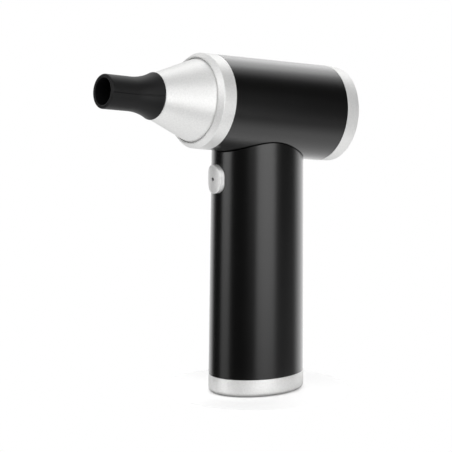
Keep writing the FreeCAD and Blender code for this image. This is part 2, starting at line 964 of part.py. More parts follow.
def base_cap():
    outer = grip_body(foot_proud, base_height)
    bottom_edges = []
    for edge in outer.Edges:
        box = edge.BoundBox
        if box.ZMax < foot_proud + 0.01:
            bottom_edges.append(edge)
    outer = outer.makeFillet(base_round, bottom_edges)
    top_edges = []
    for edge in outer.Edges:
        if edge.BoundBox.ZMin > base_height - 0.01:
            top_edges.append(edge)
    outer = outer.makeChamfer(base_chamfer, top_edges)
    spigot_inset = grip_wall + fixed_gap
    spigot_top = base_height + base_spigot_height
    cap = outer.fuse(grip_body(base_height - weld_depth, spigot_top, spigot_inset))
    hollow = grip_body(base_floor_top, spigot_top + weld_depth, spigot_inset + base_spigot_wall)
    recess = grip_body(-weld_depth, foot_thickness, foot_inset - foot_side_gap)
    cap = cap.cut(hollow).cut(recess)
    for x in (-boss_offset, boss_offset):
        cap = cap.cut(post(screw_radius + screw_clearance, 0, base_height, x))
        cap = cap.cut(post(screw_head_radius + screw_clearance, 0, foot_thickness + screw_head_height, x))
    return cap.cut(socket_slot(socket_slot_gap))


def foot_pad():
    return grip_body(0, foot_thickness - fixed_gap, foot_inset)


def base_screws():
    head_bottom = foot_thickness
    screws = []
    for x in (-boss_offset, boss_offset):
        head = post(screw_head_radius, head_bottom, head_bottom + screw_head_height - fixed_gap, x)
        shank = post(screw_radius, head_bottom, head_bottom + screw_length, x)
        screws.append(head.fuse(shank).removeSplitter())
    return Part.makeCompound(screws)


# Inside the handle


def cell_offset():
    return cell_radius + cell_gap / 2


def battery_cell(x, turned_over):
    """Round can with rolled edges and a flat tab on its positive end."""
    can = post(cell_radius, cell_bottom, cell_top, x)
    rims = [edge for edge in can.Edges if isinstance(edge.Curve, Part.Circle)]
    can = can.makeFillet(cell_edge_round, rims)
    if turned_over:
        tab = post(cell_tab_radius, cell_bottom - cell_tab_height, cell_bottom + weld_depth, x)
    else:
        tab = post(cell_tab_radius, cell_top - weld_depth, cell_top + cell_tab_height, x)
    return can.fuse(tab).removeSplitter()


def battery_cell_front():
    return battery_cell(-cell_offset(), False)


def battery_cell_rear():
    return battery_cell(cell_offset(), True)


def cell_straps():
    """A strap on each end of each cell; the front cell stands tab up and the rear one tab down."""
    straps = []
    for side, tab_up, tab_down in ((-1, cell_tab_height, 0.0), (1, 0.0, cell_tab_height)):
        x0 = side * cell_offset() - strap_reach
        x1 = side * cell_offset() + strap_reach
        above = cell_top + tab_up + fixed_gap
        below = cell_bottom - tab_down - fixed_gap
        straps.append(block(x0, x1, -strap_width / 2, strap_width / 2, above, above + strap_thickness))
        straps.append(block(x0, x1, -strap_width / 2, strap_width / 2, below - strap_thickness, below))
    return Part.makeCompound(straps)


def chassis():
    inset = grip_wall + plate_gap
    low = grip_body(low_plate_bottom, low_plate_top, inset)
    high = grip_body(chassis_top - plate_thickness, chassis_top, inset)
    pieces = [high]
    half = rail_width / 2
    outer_edge = grip_width_at(chassis_top) / 2 - inset - rail_edge_margin
    rail_bottom = low_plate_top - weld_depth
    rail_top = chassis_top - plate_thickness + weld_depth
    for side in (-1, 1):
        y0 = min(side * rail_inner_edge, side * outer_edge)
        y1 = max(side * rail_inner_edge, side * outer_edge)
        pieces.append(block(-half, half, y0, y1, rail_bottom, rail_top))
    for x in (-boss_offset, boss_offset):
        pieces.append(post(boss_radius, base_floor_top + fixed_gap, low_plate_bottom + weld_depth, x))
    for x in (-neck_screw_offset, neck_screw_offset):
        pieces.append(post(boss_radius, chassis_top - weld_depth, neck_floor - fixed_gap, x))
    frame = low.fuse(pieces).removeSplitter()
    thread_radius = screw_radius + fixed_gap
    for x in (-boss_offset, boss_offset):
        frame = frame.cut(post(thread_radius, 0, low_plate_bottom, x))
    for x in (-neck_screw_offset, neck_screw_offset):
        frame = frame.cut(post(thread_radius, chassis_top - plate_thickness / 2, axis_height, x))
    return frame


def neck_joint():
    """Saddle inside the barrel with a hollow oval neck that reaches down to the chassis."""
    pad_inner = spigot_fit_radius - saddle_pad_thickness
    band = on_barrel(tube(spigot_fit_radius, pad_inner, barrel_front, barrel_back))
    pad = band.common(neck_prism(neck_floor, axis_height, -saddle_pad_margin))
    outer = neck_prism(neck_floor, axis_height, 0.0)
    outer = outer.cut(on_barrel(rod(spigot_fit_radius - weld_depth, barrel_front, barrel_back)))
    lower = [solid for solid in outer.Solids if solid.CenterOfMass.z < axis_height]
    stub = lower[0].cut(neck_prism(neck_floor + neck_floor_thickness, axis_height, neck_wall))
    pad = pad.cut(neck_prism(neck_floor, axis_height, neck_wall))
    joint = stub.fuse(pad).removeSplitter()
    for x in (-neck_screw_offset, neck_screw_offset):
        joint = joint.cut(post(screw_radius + screw_clearance, 0, axis_height, x))
    half_x = neck_slot_depth / 2
    half_y = neck_slot_width / 2
    slot_top = neck_floor + neck_floor_thickness + weld_depth
    return joint.cut(block(-half_x, half_x, -half_y, half_y, 0, slot_top))


def neck_screws():
    head_bottom = neck_floor + neck_floor_thickness + fixed_gap
    screws = []
    for x in (-neck_screw_offset, neck_screw_offset):
        head = post(screw_head_radius, head_bottom, head_bottom + screw_head_height, x)
        shank = post(screw_radius, head_bottom - neck_screw_length, head_bottom + weld_depth, x)
        screws.append(head.fuse(shank).removeSplitter())
    return Part.makeCompound(screws)


# Charging socket


def socket_form(x0, x1, grow):
    """Rounded slot shape along X on top of the charging board."""
    return slot_bar(x0, x1, socket_width / 2 + grow, socket_height / 2 + grow, socket_height_on_grip)


def socket_slot(grow):
    return socket_form(socket_mouth - socket_length, socket_mouth + overrun, grow)


def charge_socket():
    back = socket_mouth - socket_length
    can = socket_form(back, socket_mouth, 0.0)
    can = can.cut(socket_form(back + socket_back_wall, socket_mouth + weld_depth, -socket_wall))
    half_y = tongue_width / 2
    low = socket_height_on_grip - tongue_thickness / 2
    high = low + tongue_thickness
    tongue = block(back + weld_depth, socket_mouth - tongue_short, -half_y, half_y, low, high)
    return can.fuse(tongue).removeSplitter()


def charge_board():
    """Board under the charging socket, with a hole round the chassis's screw boss."""
    z = charge_board_height
    half = charge_board_width / 2
    x1 = socket_mouth - charge_board_setback
    board = block(x1 - charge_board_length, x1, -half, half, z, z + board_thickness)
    board = board.common(grip_body(z, z + board_thickness, grip_wall + plate_gap))
    return board.cut(post(boss_radius + loose_gap, 0, low_plate_bottom, boss_offset))


PIECES = [
    nozzle_tip,
    nose_cone,
    nose_seal,
    front_ring,
    barrel_shell,
    outlet_sleeve,
    rear_ring,
    intake_grille,
    filter_screen,
    fan_housing,
    inlet_bell,
    mount_ring_front,
    mount_ring_rear,
    impeller,
    impeller_nut,
    rotor_shaft,
    rotor_magnet,
    bearing_front,
    bearing_rear,
    motor_stator,
    motor_windings,
    motor_end_plate,
    tail_cone,
    neck_joint,
    neck_screws,
    handle_shell,
    power_button,
    light_pipe,
    tact_switch,
    switch_plunger,
    control_board,
    board_parts,
    chassis,
    battery_cell_front,
    battery_cell_rear,
    cell_straps,
    charge_board,
    charge_socket,
    base_cap,
    base_screws,
    foot_pad,
]


def main():
    os.makedirs("parts", exist_ok=True)
    for make in PIECES:
        shape = make()
        shape.exportStep(os.path.join("parts", make.__name__ + ".step"))
        print(make.__name__, len(shape.Solids), round(shape.Volume, 2), shape.isValid())


main()
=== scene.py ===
import json
import math

import bmesh
import bpy
from mathutils import Matrix, Vector


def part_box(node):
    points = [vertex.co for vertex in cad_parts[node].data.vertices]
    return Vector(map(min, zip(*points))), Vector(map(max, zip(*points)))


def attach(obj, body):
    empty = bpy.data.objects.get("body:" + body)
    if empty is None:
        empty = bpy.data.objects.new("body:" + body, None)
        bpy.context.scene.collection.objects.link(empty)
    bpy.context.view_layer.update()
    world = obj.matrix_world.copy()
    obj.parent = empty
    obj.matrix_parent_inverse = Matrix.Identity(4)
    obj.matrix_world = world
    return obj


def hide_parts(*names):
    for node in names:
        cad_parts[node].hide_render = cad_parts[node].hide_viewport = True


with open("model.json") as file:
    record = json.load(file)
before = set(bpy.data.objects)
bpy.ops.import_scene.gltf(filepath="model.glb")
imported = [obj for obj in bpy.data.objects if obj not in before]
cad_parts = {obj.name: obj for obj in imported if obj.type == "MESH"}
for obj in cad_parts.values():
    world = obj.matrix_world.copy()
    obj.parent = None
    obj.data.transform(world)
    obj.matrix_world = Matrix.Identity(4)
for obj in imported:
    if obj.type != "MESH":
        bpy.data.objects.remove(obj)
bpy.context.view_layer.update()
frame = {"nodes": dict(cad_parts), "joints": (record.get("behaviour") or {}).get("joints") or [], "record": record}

# The object's own lengths are written in millimetres and turned to metres by MM. The studio's are in metres.
MM = 0.001

# The barrel's axis: the fan turns about it, so the frame's joint gives its place and its rake.
FAN = next(joint for joint in frame["joints"] if joint["name"] == "fan_spin")
AXIS_POINT = Vector(FAN["pos_m"])
RAKE = math.atan2(FAN["axis"][2], -FAN["axis"][0])
BARREL = Matrix.Translation(AXIS_POINT) @ Matrix.Rotation(RAKE, 4, "Y")
WORLD = Matrix.Identity(4)


# Colours and nodes

# Numbers of the sockets that share their name with others on the same node
FACTOR, NUMBER_A, NUMBER_B, COLOUR_A, COLOUR_B = 0, 2, 3, 6, 7
MIXED_COLOUR = 2
FIRST, SECOND = 0, 1

# The clear film that sealing leaves on black anodised aluminium, matched to the soft light on the barrel
FILM_IOR = 1.3


def colour(hex_code):
    """Linear RGBA of an sRGB hex colour."""
    channels = []
    for k in (0, 2, 4):
        c = int(hex_code[k:k + 2], 16) / 255
        channels.append(c / 12.92 if c <= 0.04045 else ((c + 0.055) / 1.055) ** 2.4)
    return (*channels, 1.0)


def add(tree, kind, settings=None, links=None):
    """Adds a node, sets its properties and inputs by name, and links other nodes' outputs to its inputs."""
    node = tree.nodes.new(kind)
    for name, value in (settings or {}).items():
        if isinstance(name, int) or name in node.inputs:
            node.inputs[name].default_value = value
        else:
            setattr(node, name, value)
    for name, socket in (links or {}).items():
        tree.links.new(socket, node.inputs[name])
    return node


def new_material(name, base, metallic=0.0, roughness=0.5, specular=0.5, ior=None, edge="ffffff", film=0.0):
    """A Principled material with the surface's plain values; its patterns are linked afterwards.

    The edge colour tints metal where it is seen at a low angle, and film is a clear layer's weight."""
    material = bpy.data.materials.new(name)
    material.use_nodes = True
    tree = material.node_tree
    tree.nodes.clear()
    shader = add(tree, "ShaderNodeBsdfPrincipled", {
        "Base Color": colour(base),
        "Metallic": metallic,
        "Roughness": roughness,
        "Specular IOR Level": specular,
        "Specular Tint": colour(edge),
        "Coat Weight": film,
        "Coat Roughness": roughness,
        "Coat IOR": FILM_IOR,
    })
    if ior:
        shader.inputs["IOR"].default_value = ior
    add(tree, "ShaderNodeOutputMaterial", {}, {"Surface": shader.outputs[0]})
    return material, tree, shader


# Materials

# A finish is fine grain with a slow drift mixed in. The mix is stretched so that its specks show.
GRAIN_DETAIL = 3.0
GRAIN_ROUGHNESS = 0.6
GRAIN_SPREAD = 0.33
DRIFT_MM = 22
DRIFT_DETAIL = 2.0
DRIFT_SHARE = 0.25
ROUGHNESS_SPREAD = 0.05


def grained(name, base, darker, grain_mm, depth_mm, roughness=0.5, **plain):
    """A plain finish with a fine grain: noise of the given grain size drives colour, roughness and bump."""
    material, tree, shader = new_material(name, base, roughness=roughness, **plain)
    place = add(tree, "ShaderNodeTexCoord").outputs["Object"]
    grain = add(tree, "ShaderNodeTexNoise",
                {"Scale": 1 / (grain_mm * MM), "Detail": GRAIN_DETAIL, "Roughness": GRAIN_ROUGHNESS},
                {"Vector": place})
    drift = add(tree, "ShaderNodeTexNoise", {"Scale": 1 / (DRIFT_MM * MM), "Detail": DRIFT_DETAIL},
                {"Vector": place})
    both = add(tree, "ShaderNodeMix", {FACTOR: DRIFT_SHARE},
               {NUMBER_A: grain.outputs["Fac"], NUMBER_B: drift.outputs["Fac"]})
    speckle = add(tree, "ShaderNodeMapRange",
                  {"From Min": 0.5 - GRAIN_SPREAD, "From Max": 0.5 + GRAIN_SPREAD},
                  {"Value": both.outputs[0]})
    tint = add(tree, "ShaderNodeMix",
               {"data_type": "RGBA", COLOUR_A: colour(darker), COLOUR_B: colour(base)},
               {FACTOR: speckle.outputs[0]})
    tree.links.new(tint.outputs[MIXED_COLOUR], shader.inputs["Base Color"])
    spread = add(tree, "ShaderNodeMapRange",
                 {"To Min": roughness - ROUGHNESS_SPREAD, "To Max": roughness + ROUGHNESS_SPREAD},
                 {"Value": speckle.outputs[0]})
    tree.links.new(spread.outputs[0], shader.inputs["Roughness"])
    bump = add(tree, "ShaderNodeBump", {"Strength": 1.0, "Distance": depth_mm * MM},
               {"Height": grain.outputs["Fac"]})
    tree.links.new(bump.outputs[0], shader.inputs["Normal"])
    return material


# One finish for each of the frame's slots. Blasting pits, tool marks and moulded texture are a tenth of a
# millimetre or less in these, too fine to show, so each grain is drawn as coarse as it needs to show.
FINISHES = {
    # Bead-blasted and clear anodised aluminium: a soft, even silver with a fine speckle.
    "satin_aluminium": grained("bead_blasted_aluminium", "fbfbfa", "e2e2e1", 0.8, 0.03,
                               metallic=0.5, roughness=0.45, edge="c0c0c0"),
    # Black anodised tube: a deep black under the clear film that sealing leaves, so it shows what is round
    # it softly, and strongly at its edges.
    "black_casing": grained("black_anodised_tube", "030303", "010101", 0.3, 0.002,
                            roughness=0.25, ior=1.45, film=1.0),
    # Moulded black rubber: dull and dark, with a faint dusty sheen.
    "black_rubber": grained("moulded_rubber", "101011", "0b0b0c", 0.4, 0.006, roughness=0.5, specular=0.26),
    # Seal rubber from a polished mould: smooth, and a little glossier than the tip.
    "seal_rubber": grained("smooth_seal_rubber", "161616", "101010", 0.5, 0.002,
                           roughness=0.45, specular=0.45),
    # Moulded ABS with a spark-eroded skin: an even soft black.
    "dark_plastic": grained("moulded_black_plastic", "17181a", "121314", 0.6, 0.01, roughness=0.5),
    # Moulded nylon of the grille: black, with a low gloss on its rounded bars.
    "grille_plastic": grained("moulded_grille_plastic", "141415", "0f0f10", 0.5, 0.008, roughness=0.48),
    # Glass-filled nylon of the frame and neck: a duller, greyer black.
    "frame_plastic": grained("moulded_frame_plastic", "1e1f22", "18191b", 0.7, 0.01, roughness=0.55),
    # Woven stainless wire: a dark grey metal cloth that glints a little.
    "screen_mesh": grained("woven_screen_wire", "4a4b4d", "37383a", 0.4, 0.004,
                           metallic=1.0, roughness=0.45),
    # Die-cast aluminium: a dull grey metal with a slightly uneven skin.
    "cast_aluminium": grained("die_cast_aluminium", "a9abae", "95979a", 0.8, 0.015,
                              metallic=1.0, roughness=0.5),
    # Machined aluminium of the fan wheel and its nut: bright, with fine tool marks.
    "wheel_aluminium": grained("machined_aluminium", "c2c4c7", "b1b3b6", 0.25, 0.003,
                               metallic=1.0, roughness=0.28),
    # Ground and pressed bright steel: almost a mirror.
    "bright_steel": grained("bright_steel", "c3c3c2", "b0b0af", 0.3, 0.001, metallic=1.0, roughness=0.22),
    # Nickel-plated magnet: a darker mirror.
    "magnet": grained("nickel_plated_magnet", "8f8f92", "808083", 0.3, 0.001,
                      metallic=1.0, roughness=0.25),
    # Stacked core steel: dark grey, like the edges of many thin sheets.
    "core_steel": grained("stacked_core_steel", "6f7073", "5d5e60", 0.3, 0.004,
                          metallic=1.0, roughness=0.4),
    # Enamelled copper wire: glossy orange brown.
    "copper_wire": grained("enamelled_copper_wire", "b4622f", "9a4f24", 0.3, 0.01,
                           metallic=1.0, roughness=0.3),
    # Zinc-plated screws: pale grey metal.
    "screw_steel": grained("zinc_plated_steel", "9fa1a3", "8c8e90", 0.3, 0.002,
                           metallic=1.0, roughness=0.35),
    # Clear acrylic light pipe, drawn opaque: its dark colour is painted shade, for the closed handle's dark inside
    # seen through it, and its gloss is its own.
    "clear_plastic": grained("clear_light_pipe", "141517", "0f1011", 0.4, 0.001, roughness=0.15),
    # Moulded switch plastic: plain black.
    "switch_body": grained("black_switch_plastic", "151515", "101010", 0.5, 0.004, roughness=0.45),
    # Solder mask on a circuit board: dark green with a soft gloss.
    "circuit_board": grained("green_solder_mask", "0f4426", "0b371e", 0.6, 0.004, roughness=0.35),
    # Moulded chip resin: dull black.
    "components": grained("black_chip_resin", "1c1c1d", "151516", 0.4, 0.004, roughness=0.5),
    # Sleeve shrunk on the cells: smooth blue with a soft gloss.
    "cell_wrap": grained("blue_cell_wrap", "1d4e86", "19457a", 2.0, 0.002, roughness=0.3),
    # Rolled nickel strip: a warm pale metal.
    "nickel_strip": grained("nickel_strip", "b5b2a6", "a29f94", 0.3, 0.002, metallic=1.0, roughness=0.35),
}


# Making pieces

ROUND_STEPS = 144
OVAL_STEPS = 160
BUTTON_STEPS = 96
SLOT_STEPS = 64
LENS_STEPS = 32
BEVEL_STEPS = 4
SHARP_ANGLE = math.radians(38)
FLAT_ANGLE = math.radians(1)

# Points nearer than this are one: in a new piece, in millimetres, and in a CAD node's mesh, in metres
SAME_POINT = 1e-5
SAME_CAD_POINT = 1e-6


def in_scene(name, data):
    """A new object, linked to the scene."""
    item = bpy.data.objects.new(name, data)
    bpy.context.scene.collection.objects.link(item)
    return item


def finished_mesh(item):
    """A new mesh of an object as it looks with its modifiers, or its curve's thickness."""
    return bpy.data.meshes.new_from_object(item.evaluated_get(bpy.context.evaluated_depsgraph_get()))


def wrapped(stations, point_at, steps, closed=True):
    """Spins an outline into rings and puts each ring's points where point_at says.

    A station is (values for point_at, round). The round bevels that ring. A closed outline makes a hollow
    form, and an open one gets a flat face on its first and last ring."""
    bm = bmesh.new()
    ring = bm.verts.layers.int.new("ring")
    outline = [bm.verts.new((1, 0, k)) for k in range(len(stations))]
    ends = outline[1:] + outline[:1] if closed else outline[1:]
    edges = [bm.edges.new(pair) for pair in zip(outline, ends)]
    bmesh.ops.spin(bm, geom=outline + edges, axis=(0, 0, 1), angle=math.tau, steps=steps, use_merge=True)
    if not closed:
        bmesh.ops.holes_fill(bm, edges=[edge for edge in bm.edges if edge.is_boundary])
    for vert in bm.verts:
        turn = math.atan2(vert.co.y, vert.co.x)
        vert[ring] = round(vert.co.z)
        vert.co = point_at(turn, *stations[vert[ring]][0])
    bmesh.ops.remove_doubles(bm, verts=bm.verts, dist=SAME_POINT)
    bmesh.ops.recalc_face_normals(bm, faces=bm.faces)
    for k, (_, size) in enumerate(stations):
        if size:
            corner = [edge for edge in bm.edges if all(vert[ring] == k for vert in edge.verts)]
            bmesh.ops.bevel(bm, geom=corner, affect="EDGES", offset=size, segments=BEVEL_STEPS, profile=0.5,
                            material=-1)
    return bm


def turned(corners, closed=True, steps=ROUND_STEPS):
    """A piece turned on the barrel's axis, from outline corners (x, radius, round)."""
    stations = [((x, radius), size) for x, radius, size in corners]
    return wrapped(stations, lambda turn, x, radius: (x, radius * math.sin(turn), radius * math.cos(turn)),
                   steps, closed)


def joined(*forms):
    """One bmesh that holds several."""
    whole = bmesh.new()
    for bm in forms:
        mesh = bpy.data.meshes.new("part")
        bm.to_mesh(mesh)
        bm.free()
        whole.from_mesh(mesh)
        bpy.data.meshes.remove(mesh)
    return whole


def bar(size, middle, round_size):
    """A block with rounded edges."""
    bm = bmesh.new()
    bmesh.ops.create_cube(bm, size=1)
    bmesh.ops.scale(bm, vec=size, verts=bm.verts)
    bmesh.ops.bevel(bm, geom=bm.edges[:], affect="EDGES", offset=round_size, segments=2, profile=0.5,
                    material=-1)
    bmesh.ops.translate(bm, vec=middle, verts=bm.verts)
    return bm


def mark_corners(bm):
    """Marks the edges where the surface turns sharply, so that shading breaks there."""
    for edge in bm.edges:
        edge.smooth = edge.calc_face_angle(0) < SHARP_ANGLE


def object_from(name, bm, place):
    """A mesh object with its place, in metres, in its mesh. Faces are smooth and corners stay sharp."""
    bm.transform(place @ Matrix.Scale(MM, 4))
    for face in bm.faces:
        face.smooth = True
    mark_corners(bm)
    mesh = bpy.data.meshes.new(name)
    bm.to_mesh(mesh)
    bm.free()
    return in_scene(name, mesh)


def fitted(piece, body, slot, *nodes):
    """Gives a piece its finish, and puts it on its body in place of its CAD nodes.

    Its large faces set the shading, so that a bevel doesn't bend the flat beside it."""
    piece.data.materials.clear()
    piece.data.materials.append(FINISHES[slot])
    even = piece.modifiers.new("even shading", "WEIGHTED_NORMAL")
    even.keep_sharp = True
    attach(piece, body)
    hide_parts(*nodes)


def cut_away(piece, *cutters):
    """Cuts closed bmeshes out of a piece."""
    for bm in cutters:
        cutter = object_from("cutter", bm, WORLD)
        cut = piece.modifiers.new("cut", "BOOLEAN")
        cut.operation = "DIFFERENCE"
        cut.solver = "EXACT"
        cut.object = cutter
        result = finished_mesh(piece)
        piece.modifiers.clear()
        piece.data = result
        bpy.data.objects.remove(cutter)
    bm = bmesh.new()
    bm.from_mesh(piece.data)
    mark_corners(bm)
    bm.to_mesh(piece.data)
    bm.free()


def along_barrel(node):
    """A CAD node's ends along the barrel's axis and its widest radius, in millimetres."""
    back = Matrix.Scale(1 / MM, 4) @ BARREL.inverted()
    points = [back @ vert.co for vert in frame["nodes"][node].data.vertices]
    reach = [point.x for point in points]
    return min(reach), max(reach), max(math.hypot(point.y, point.z) for point in points)


# Sizes

# Gaps of pieces that are fixed together, and of pieces that slide
FIT = 0.05
LOOSE = 0.2

# Edge roundings, from an edge that looks sharp to one that looks round
CRISP = 0.1
CLEAN = 0.12
FINE = 0.15
BROKEN = 0.2
EASED = 0.3
SOFT = 0.4

# Walls of the barrel and of the front ring's spigot, the ring's bore for the cone's plug, how deep the cone
# sits in the ring, and the radii of the outlet and of the spigot that carries the tip
SHELL_WALL = 1.5
SPIGOT_WALL = 1.7
PLUG_BORE = 18.6
CONE_RECESS = 1.0
OUTLET = 6.6
SPIGOT = 7.6

TIP_FRONT, TIP_BACK, TIP_RADIUS = along_barrel("nozzle_tip")
CONE_FRONT, CONE_PLUG_END, CONE_RADIUS = along_barrel("nose_cone")
RING_FRONT, RING_END, BARREL_RADIUS = along_barrel("front_ring")
BARREL_FRONT, BARREL_BACK, _ = along_barrel("barrel_shell")
COVER_FRONT, COVER_BACK, _ = along_barrel("rear_ring")
GRILLE_FRONT, GRILLE_BACK, GRILLE_RADIUS = along_barrel("intake_grille")
SCREEN_FRONT, SCREEN_BACK, SCREEN_RADIUS = along_barrel("filter_screen")

# The handle is an oval that tapers from its base to the height of the barrel's axis.
GRIP_LOW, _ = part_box("handle_shell")
GRIP_BASE = GRIP_LOW.z / MM
GRIP_AXIS = AXIS_POINT.z / MM
GRIP_DEPTH, GRIP_WIDTH = 49.2, 37.9
GRIP_TOP_DEPTH, GRIP_TOP_WIDTH = 47.2, 36.4
GRIP_WALL = 1.6
SADDLE_GAP = 0.35

# How far from the handle's middle the slot cutters start and end
CUT_START, CUT_END = 17, 30

BUTTON_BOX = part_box("power_button")
BUTTON_Z = (BUTTON_BOX[0].z + BUTTON_BOX[1].z) / 2 / MM
BUTTON_WIDTH, BUTTON_HEIGHT = 10.6, 14.1
BUTTON_PROUD = 2.3
LIGHT_RADIUS = 1.0

SOCKET_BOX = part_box("charge_socket")
SOCKET_WIDTH = (SOCKET_BOX[1].y - SOCKET_BOX[0].y) / MM
SOCKET_HEIGHT = (SOCKET_BOX[1].z - SOCKET_BOX[0].z) / MM
SOCKET_Z = (SOCKET_BOX[1].z + SOCKET_BOX[0].z) / 2 / MM
SOCKET_GAP = 0.35


# Nozzle and nose cone

def arc(x, radius, bend, start, end, parts):
    """Outline corners on an arc about (x, radius), from one angle in degrees to another."""
    corners = []
    for k in range(parts + 1):
        turn = math.radians(start + (end - start) * k / parts)
        corners.append((x + bend * math.cos(turn), radius + bend * math.sin(turn), 0))
    return corners


def rubber_tip():
    """Moulded sleeve: a rounded lip, a waist and a hollow flare, with a fine groove where the mould parts.

    The flare's slope and the groove's turn and width are in degrees."""
    waist, lip, lip_round, mouth_round, rim_round = 8.3, 8.4, 0.8, 0.5, 0.6
    flare, rim_parts, hollow_parts = 27, 8, 14
    groove_turn, groove_width, groove_depth = 8.75, 3, 0.25
    outer_skin = waist - 0.5
    socket_end = CONE_FRONT - LOOSE
    rim = arc(TIP_BACK - rim_round, TIP_RADIUS - rim_round, rim_round, 0, 90 + flare, rim_parts)
    flare_back, flare_top, _ = rim[-1]
    bend = (flare_top - waist) / (1 - math.cos(math.radians(flare)))
    flare_front = flare_back - bend * math.sin(math.radians(flare))
    hollow = arc(flare_front, waist + bend, bend, flare - 90, -90, hollow_parts)
    bm = turned([(TIP_FRONT, OUTLET, mouth_round), (socket_end, OUTLET, 0), (socket_end, SPIGOT + LOOSE, 0),
                 (TIP_BACK, SPIGOT + LOOSE, BROKEN)] + rim + hollow[1:]
                + [(TIP_FRONT + 2 * lip_round, lip, 0), (TIP_FRONT, lip, lip_round)],
                steps=2 * ROUND_STEPS)
    for vert in bm.verts:
        radius = math.hypot(vert.co.y, vert.co.z)
        off_line = math.degrees(math.atan2(vert.co.z, vert.co.y)) + groove_turn
        on_line = abs((off_line + 90) % 180 - 90) < groove_width / 2
        if on_line and radius > outer_skin and vert.co.x > TIP_FRONT + lip_round:
            vert.co.yz *= 1 - groove_depth / radius
    fitted(object_from("tip_rubber", bm, BARREL), "tip", "black_rubber", "nozzle_tip")


def turned_cone():
    """Cone with a spigot in front and a plug behind; the plug has a groove for the seal."""
    cone_base, cone_top = RING_FRONT + CONE_RECESS, TIP_BACK + FIT
    top_radius, top_wall, throat, plug_wall = 11.1, 2.4, 1.5, 1.2
    plug = PLUG_BORE - LOOSE
    groove_front, groove_back, groove_floor = CONE_PLUG_END - 2.6, CONE_PLUG_END - 1.3, 17.25
    bm = turned([(CONE_FRONT, OUTLET, BROKEN), (cone_top, OUTLET, 0),
                 (cone_top + throat, top_radius - top_wall, EASED), (cone_base, plug - plug_wall, 0),
                 (CONE_PLUG_END, plug - plug_wall, BROKEN), (CONE_PLUG_END, plug, SOFT),
                 (groove_back, plug, CRISP), (groove_back, groove_floor, 0), (groove_front, groove_floor, 0),
                 (groove_front, plug, CRISP), (cone_base, plug, 0), (cone_base, CONE_RADIUS, FINE),
                 (cone_top, top_radius, EASED), (cone_top, SPIGOT, 0), (CONE_FRONT, SPIGOT, SOFT)])
    fitted(object_from("cone_turned", bm, BARREL), "nose", "satin_aluminium", "nose_cone")


# Barrel

def collar():
    """Front ring: a seat for the cone, a sloped shoulder, a band as wide as the barrel and a spigot."""
    band_front, shoulder = BARREL_FRONT - 6.9, BARREL_RADIUS - 2.25
    seat, seat_floor, seat_round = shoulder - 0.2, RING_FRONT + CONE_RECESS + 1.2, 0.06
    spigot, bore_end = BARREL_RADIUS - SHELL_WALL - FIT, CONE_PLUG_END + 0.6
    bm = turned([(RING_FRONT, seat, seat_round), (seat_floor, seat, 0), (seat_floor, PLUG_BORE, BROKEN),
                 (bore_end, PLUG_BORE, BROKEN), (bore_end, spigot - SPIGOT_WALL, 0),
                 (RING_END, spigot - SPIGOT_WALL, 0), (RING_END, spigot, EASED), (BARREL_FRONT, spigot, 0),
                 (BARREL_FRONT, BARREL_RADIUS, CLEAN), (band_front, BARREL_RADIUS, EASED),
                 (RING_FRONT, shoulder, CLEAN)])
    fitted(object_from("collar_turned", bm, BARREL), "housing", "satin_aluminium", "front_ring")


def barrel_tube():
    """Plain tube, with rings of points along its outside that keep its shading even."""
    bore = BARREL_RADIUS - SHELL_WALL
    shading_rings = [(x, BARREL_RADIUS, 0) for x in (BARREL_BACK - 6, -20, BARREL_FRONT + 3)]
    bm = turned([(BARREL_FRONT, bore, CRISP), (BARREL_BACK, bore, CRISP), (BARREL_BACK, BARREL_RADIUS, FINE)]
                + shading_rings + [(BARREL_FRONT, BARREL_RADIUS, FINE)])
    fitted(object_from("tube_anodised", bm, BARREL), "housing", "black_casing", "barrel_shell")


def cover_ring():
    """Rear ring: a slightly tapered band with a rounded end, and a spigot that slides into the barrel."""
    end_radius, opening, mouth_round, rim_round = BARREL_RADIUS - 0.5, BARREL_RADIUS - 3.4, 0.5, 0.9
    spigot, spigot_wall = BARREL_RADIUS - SHELL_WALL - LOOSE, 1.4
    bm = turned([(COVER_FRONT, spigot - spigot_wall, BROKEN), (GRILLE_BACK, spigot - spigot_wall, 0),
                 (GRILLE_BACK, opening, 0), (COVER_BACK, opening, mouth_round),
                 (COVER_BACK, end_radius, rim_round), (BARREL_BACK + FIT, BARREL_RADIUS, CLEAN),
                 (BARREL_BACK + FIT, spigot, 0), (COVER_FRONT, spigot, EASED)])
    fitted(object_from("cover_turned", bm, BARREL), "intake_cover", "satin_aluminium", "rear_ring")


def grille():
    """Moulded grille: a rim, rings and spokes with rounded edges, and a domed middle."""
    rim_width, bar_width, rings = 1.6, 1.0, 4
    hub, dome_rise, dome_top = 4.2, 0.5, 1.7
    spoke_width, spokes, spoke_overlap, spoke_sunk = 1.4, 6, 1, 0.1
    forms = []
    inner = GRILLE_RADIUS - rim_width
    gap = (inner - hub - rings * bar_width) / (rings + 1)
    bands = [(inner, GRILLE_RADIUS)]
    for k in range(rings):
        start = hub + gap + k * (gap + bar_width)
        bands.append((start, start + bar_width))
    for low, high in bands:
        forms.append(turned([(GRILLE_FRONT, low, EASED), (GRILLE_BACK, low, EASED),
                             (GRILLE_BACK, high, EASED), (GRILLE_FRONT, high, EASED)]))
    forms.append(turned([(GRILLE_FRONT, hub, EASED), (GRILLE_BACK - dome_rise, hub, SOFT),
                         (GRILLE_BACK, dome_top, 0)], closed=False))
    thickness = GRILLE_BACK - GRILLE_FRONT - spoke_sunk
    middle = ((GRILLE_FRONT + GRILLE_BACK) / 2, 0, (hub + inner) / 2)
    for k in range(spokes):
        spoke = bar((thickness, spoke_width, inner - hub + spoke_overlap), middle, EASED)
        bmesh.ops.rotate(spoke, verts=spoke.verts, matrix=Matrix.Rotation(math.tau * k / spokes, 3, "X"))
        forms.append(spoke)
    piece = object_from("grille_moulded", joined(*forms), BARREL)
    fitted(piece, "intake_cover", "grille_plastic", "intake_grille")


